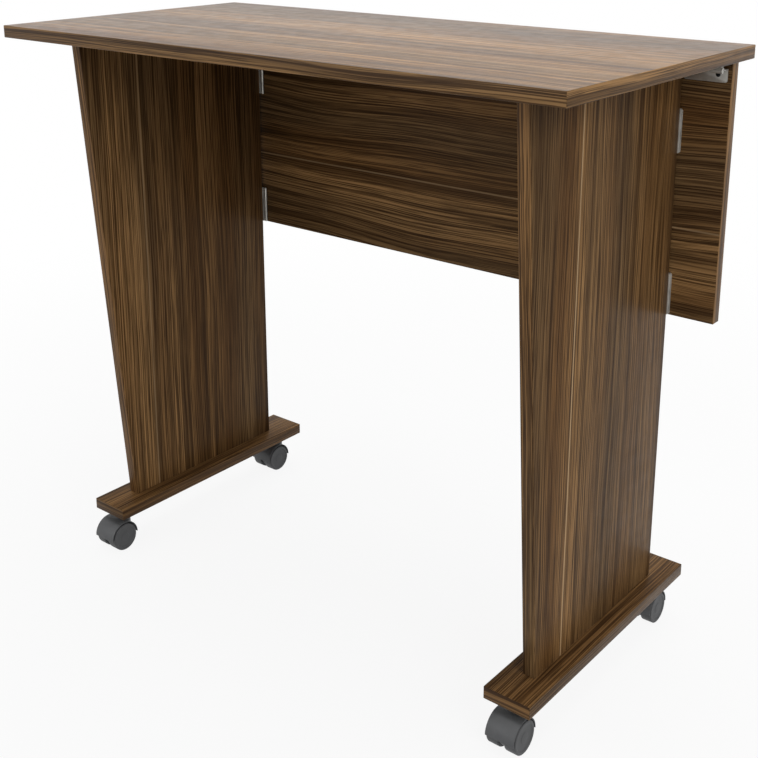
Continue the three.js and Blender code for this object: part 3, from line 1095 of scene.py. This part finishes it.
@dataclass
class Castor:
    """A twin-wheel castor under a foot board."""

    name: str
    leg_body: str
    screw: Mesh
    finishes: Finishes
    wall: float = 1.1 * MM
    web: float = 7.0 * MM
    web_radius: float = 16.0 * MM
    lip: float = 0.35 * MM
    lip_turn: float = 40.0
    boss_radius: float = 8.0 * MM
    boss_flare: float = 1.12
    boss_round: float = 0.8 * MM
    trim_width: float = 60.0 * MM
    rim: float = 3.4 * MM
    rim_slope: float = 0.9 * MM
    dish: float = 0.8 * MM
    cap_radius: float = 6.0 * MM
    cap_slope: float = 0.5 * MM
    cap_sink: float = 0.45 * MM
    tread_round: float = 1.1 * MM
    tread_turn: float = 60.0
    fine_round: float = 0.18 * MM
    steps: int = 72
    plate_screw_inset: float = 6.0 * MM

    def build(self, frame: dict) -> None:
        """Makes the hood and the wheels, and dresses the steel parts.

        Args:
            frame: The loaded frame.
        """
        for part in ("plate", "king_pin", "axle"):
            dress(frame["nodes"][f"{self.name}_{part}"], self.finishes.zinc)
        self._hood()
        for label in ("inner", "outer"):
            self._wheel(label)
        self._plate_screws()

    def _hood(self) -> None:
        """Makes the half shell, the web between the wheels and the swivel boss as one moulding."""
        node = f"{self.name}_hood"
        low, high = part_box(node)
        axle = middle_of(f"{self.name}_axle")
        pin = middle_of(f"{self.name}_king_pin")
        outer = axle.y - low[1]
        half = (high[0] - low[0]) / 2
        bm = self._shell(axle, outer, half)
        self._add_web(bm, axle, outer - self.wall / 2)
        self._add_boss(bm, axle, pin, outer - self.wall / 2, high[2])
        body = f"{self.name}_swivel"
        piece = finish_piece(bm, f"{node}_moulding", body, [self.finishes.hood])
        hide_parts(node)

    def _shell(self, axle: Vector, outer: float, half: float) -> BMesh:
        """Spins the shell's section half a turn over the wheels.

        Args:
            axle: The axle's middle.
            outer: The shell's outer radius.
            half: Half its width.

        Returns:
            A closed bmesh with softened lips.
        """
        bm = bmesh.new()
        section = [(-half, outer), (half, outer), (half, outer - self.wall), (-half, outer - self.wall)]
        points = [bm.verts.new(axle + Vector((x, -radius, 0.0))) for x, radius in section]
        edges = [bm.edges.new((points[i], points[(i + 1) % 4])) for i in range(4)]
        bmesh.ops.spin(bm, geom=points + edges, cent=axle, axis=(1, 0, 0), angle=-math.pi,
                       steps=self.steps // 2)
        bmesh.ops.holes_fill(bm, edges=[e for e in bm.edges if e.is_boundary], sides=4)
        bmesh.ops.recalc_face_normals(bm, faces=bm.faces)
        soften(bm, self.lip, 2, self.lip_turn)
        return bm

    def _add_web(self, bm: BMesh, axle: Vector, upper: float) -> None:
        """Adds the web, a disc whose lower half is smaller.

        Args:
            bm: The hood's bmesh.
            axle: The axle's middle.
            upper: The web's radius above the axle.
        """
        ring = bmesh.ops.create_circle(bm, cap_ends=True, radius=upper, segments=self.steps,
                                       matrix=Matrix.Rotation(QUARTER_TURN, 4, "Y"))["verts"]
        for vert in ring:
            if vert.co.z < -MM:
                vert.co *= self.web_radius / upper
        bmesh.ops.translate(bm, vec=axle - Vector((self.web / 2, 0, 0)), verts=ring)
        cap = next(face for face in ring[0].link_faces if len(face.verts) == len(ring))
        grown = bmesh.ops.extrude_face_region(bm, geom=[cap], use_keep_orig=True)["geom"]
        moved = [item for item in grown if isinstance(item, BMVert)]
        bmesh.ops.translate(bm, vec=(self.web, 0, 0), verts=moved)

    def _add_boss(self, bm: BMesh, axle: Vector, pin: Vector, room: float, top: float) -> None:
        """Adds the boss that turns on the king pin, trimmed to the shell.

        Args:
            bm: The hood's bmesh.
            axle: The axle's middle.
            pin: The king pin's middle.
            room: The radius that the boss keeps clear of, about the axle.
            top: Its upper end.
        """
        boss = bmesh.new()
        add_cone(boss, self.boss_radius * self.boss_flare, self.boss_radius, top - axle.z, self.steps // 2)
        bmesh.ops.translate(boss, vec=(pin.x, pin.y, (top + axle.z) / 2), verts=boss.verts)
        rim = [e for e in boss.edges if min(v.co.z for v in e.verts) > top - MM]
        round_off(boss, rim, self.boss_round, 3)
        wheels = bmesh.new()
        add_cone(wheels, room, room, self.trim_width, self.steps)
        turn = Matrix.Rotation(QUARTER_TURN, 4, "Y")
        bmesh.ops.transform(wheels, matrix=Matrix.Translation(axle) @ turn, verts=wheels.verts)
        trimmed = carve(boss, wheels)
        bm.from_mesh(trimmed)
        bpy.data.meshes.remove(trimmed)

    def _wheel(self, label: str) -> None:
        """Turns one wheel with a rounded tread, a raised rim and a hub cap.

        Args:
            label: Which wheel, inner or outer.
        """
        node = f"{self.name}_{label}_wheel"
        low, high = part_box(node)
        middle = middle_of(node)
        width = high[0] - low[0]
        radius = middle.z - low[2]
        outwards = 1 if middle.x > middle_of(f"{self.name}_axle").x else -1
        rim = radius - self.rim
        dish = width - self.dish
        cap = width - self.cap_sink
        profile = [(0, 0), (radius, 0), (radius, width), (rim, width), (rim - self.rim_slope, dish),
                   (self.cap_radius + self.cap_slope, dish), (self.cap_radius, cap), (0, cap)]
        bm = spun(profile, self.steps)
        soften(bm, self.tread_round, 4, self.tread_turn)
        soften(bm, self.fine_round, 2)
        turn = Matrix.Rotation(outwards * QUARTER_TURN, 4, "Y")
        start = Vector((middle.x - outwards * width / 2, middle.y, middle.z))
        bmesh.ops.transform(bm, matrix=Matrix.Translation(start) @ turn, verts=bm.verts)
        body = f"{node}_spin_body"
        piece = finish_piece(bm, f"{node}_turned", body, [self.finishes.wheel])
        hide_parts(node)

    def _plate_screws(self) -> None:
        """Sets four screws in the plate's corners."""
        low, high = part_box(f"{self.name}_plate")
        inset = self.plate_screw_inset
        places = [Matrix.Translation((x, y, low[2])) for x in (low[0] + inset, high[0] - inset)
                  for y in (low[1] + inset, high[1] - inset)]
        bm = screw_group(self.screw, places)
        finish_piece(bm, f"{self.name}_plate_screws", self.leg_body, [self.finishes.zinc])


@dataclass
class PhotoCamera:
    """The viewpoint of the photograph, in metres and in pixels of a square image."""

    eye: Vector
    forward: Vector
    up: Vector
    focal: float = 1201.5
    centre_x: float = 381.65
    centre_y: float = 227.6
    image: float = 758.0
    sensor: float = 36.0

    def build(self) -> None:
        """Makes the camera and selects it."""
        data = bpy.data.cameras.new("photo_camera")
        data.sensor_width = self.sensor
        data.lens = self.focal / self.image * self.sensor
        data.shift_x = (self.image / 2 - self.centre_x) / self.image
        data.shift_y = (self.centre_y - self.image / 2) / self.image
        right = self.forward.cross(self.up).normalized()
        upright = right.cross(self.forward).normalized()
        turn = Matrix((right, upright, -self.forward.normalized())).transposed().to_4x4()
        camera = linked("photo_camera", data)
        camera.matrix_world = Matrix.Translation(self.eye) @ turn
        bpy.context.scene.camera = camera


@dataclass(frozen=True)
class Softbox:
    """A square lamp that faces the table, in metres and watts."""

    name: str
    place: tuple[float, float, float]
    size: float
    power: float
    aim_height: float = 0.4

    def build(self) -> None:
        """Hangs the lamp."""
        data = bpy.data.lights.new(self.name, "AREA")
        data.size = self.size
        data.energy = self.power
        lamp = linked(self.name, data)
        lamp.location = self.place
        aim = Vector((0.0, 0.0, self.aim_height)) - Vector(self.place)
        lamp.rotation_euler = aim.to_track_quat("-Z", "Y").to_euler()


@dataclass
class Studio:
    """A pale floor, a white surround and soft lamps."""

    lamps: tuple[Softbox, ...] = (
        Softbox("overhead_softbox", (0.0, 0.5, 3.2), 3.0, 96.0),
        Softbox("key_softbox", (3.1, -1.3, 2.1), 1.9, 56.0),
        Softbox("fill_softbox", (-1.4, -3.2, 1.6), 2.4, 33.0),
    )
    ambient: float = 0.3
    floor_half: float = 8.0
    floor_base: Colour = (0.6, 0.6, 0.6, 1.0)
    floor_roughness: float = 0.9
    floor_white: float = 0.9
    fade_start: float = 0.5
    fade_end: float = 1.8

    def build(self) -> None:
        """Makes the surround, the floor and the lamps."""
        self._surround()
        self._floor()
        for lamp in self.lamps:
            lamp.build()

    @staticmethod
    def _seen(graph: Graph) -> NodeSocket:
        """Finds the rays that show the background directly, in gloss or through glass.

        Args:
            graph: The graph that asks.

        Returns:
            1 for those rays and 0 for the others.
        """
        path = graph.node("ShaderNodeLightPath")
        shiny = graph.math("ADD", path.outputs["Is Glossy Ray"], path.outputs["Is Transmission Ray"])
        return graph.math("MINIMUM", graph.math("ADD", path.outputs["Is Camera Ray"], shiny), 1.0)

    def _surround(self) -> None:
        """Lights the scene evenly and shows as white."""
        world = bpy.data.worlds.new("studio_surround")
        world.use_nodes = True
        graph = Graph(world.node_tree)
        strength = graph.math("MULTIPLY_ADD", self._seen(graph), 1.0 - self.ambient, self.ambient)
        backdrop = world.node_tree.nodes["Background"]
        backdrop.inputs["Color"].default_value = (1.0, 1.0, 1.0, 1.0)
        graph.feed(backdrop.inputs["Strength"], strength)
        bpy.context.scene.world = world

    def _floor(self) -> None:
        """Lays a floor that shows near white and keeps the table's shadow."""
        bm = bmesh.new()
        bmesh.ops.create_grid(bm, x_segments=1, y_segments=1, size=self.floor_half)
        mesh = mesh_of(bm, "studio_floor")
        material, graph, shader = start_material("studio_floor")
        shader.inputs["Base Color"].default_value = self.floor_base
        shader.inputs["Roughness"].default_value = self.floor_roughness
        glow = graph.node("ShaderNodeEmission")
        blend = graph.node("ShaderNodeMixShader")
        reach = graph.node("ShaderNodeVectorMath", operation="LENGTH")
        graph.feed(reach.inputs[0], graph.place())
        faded = graph.ramp(reach.outputs["Value"], self.fade_start, self.fade_end)
        white = graph.math("MULTIPLY_ADD", faded, 1.0 - self.floor_white, self.floor_white)
        graph.feed(blend.inputs[0], graph.math("MULTIPLY", self._seen(graph), white))
        graph.feed(blend.inputs[1], shader.outputs[0])
        graph.feed(blend.inputs[2], glow.outputs[0])
        graph.feed(material.node_tree.nodes["Material Output"].inputs["Surface"], blend.outputs[0])
        mesh.materials.append(material)
        linked("studio_floor", mesh)


def boards() -> list[Board]:
    """Lists the table's boards, with the veneer joints where they show.

    Returns:
        The boards.
    """
    left_screws = ("left_foot_screw_1", "left_foot_screw_2")
    right_screws = ("right_foot_screw_1", "right_foot_screw_2")
    return [
        Board("tabletop", "top", "top_board", Axis.X, Axis.Y, 0.4, 0.046, -0.068, gloss=0.3),
        Board("back_panel", "panel", "panel_board", Axis.X, Axis.Z, 1.7, 0.512, wander=0.034),
        Board("left_leg_panel", "left_leg", "leg_board", Axis.Z, Axis.Y, 2.9, -0.065),
        Board("right_leg_panel", "right_leg", "leg_board", Axis.Z, Axis.Y, 4.3, -0.0545, joint_weight=0.7),
        # the feet carry painted shade: their laminate is darkened for the shade under the table and legs, and
        # partly for a darker veneer
        Board("left_foot_board", "left_leg", "foot_board", Axis.Y, Axis.X, 5.2, painted_shade_and_tone=0.2,
              sunk_screws=left_screws),
        Board("right_foot_board", "right_leg", "foot_board", Axis.Y, Axis.X, 6.1, painted_shade_and_tone=0.35,
              sunk_screws=right_screws),
    ]


def main() -> None:
    """Builds the camera, the studio and every piece of the table."""
    logging.basicConfig(level=logging.INFO, format="%(name)s %(message)s")
    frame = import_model()
    bpy.context.scene.view_settings.view_transform = "Standard"
    PhotoCamera(
        eye=Vector((0.90493, -1.07154, 0.88496)),
        forward=Vector((-0.60617, 0.74727, -0.27228)),
        up=Vector((-0.17067, 0.21215, 0.96222)),
    ).build()
    Studio().build()
    groups = NodeGroups()
    finishes = Finishes.build(groups)
    for board in boards():
        board.build(frame, groups)
    pan = Screw(ScrewForm.PAN, head_radius=2.8 * MM, head_height=1.8 * MM, shank_radius=1.6 * MM,
                length=11.5 * MM).mesh()
    oval = Screw(ScrewForm.OVAL, head_radius=2.8 * MM, head_height=0.5 * MM, shank_radius=1.4 * MM,
                 length=8.0 * MM).mesh()
    plate_screw = Screw(ScrewForm.PAN, head_radius=3.4 * MM, head_height=1.6 * MM, shank_radius=1.6 * MM,
                        length=10.0 * MM).mesh()
    for side in ("left", "right"):
        leg = f"{side}_leg"
        TopHinge(f"{side}_top_hinge", pan, finishes).build()
        for level in ("upper", "lower"):
            LegHinge(f"{side}_{level}_leg_hinge", leg, oval, finishes.zinc).build()
        for number in (1, 2):
            dress(frame["nodes"][f"{side}_foot_screw_{number}"], finishes.zinc)
        for end in ("front", "rear"):
            Castor(f"castor_{end}_{side}", leg, plate_screw, finishes).build(frame)
    for pattern in (pan, oval, plate_screw):
        bpy.data.meshes.remove(pattern)


if __name__ == "__main__":
    main()
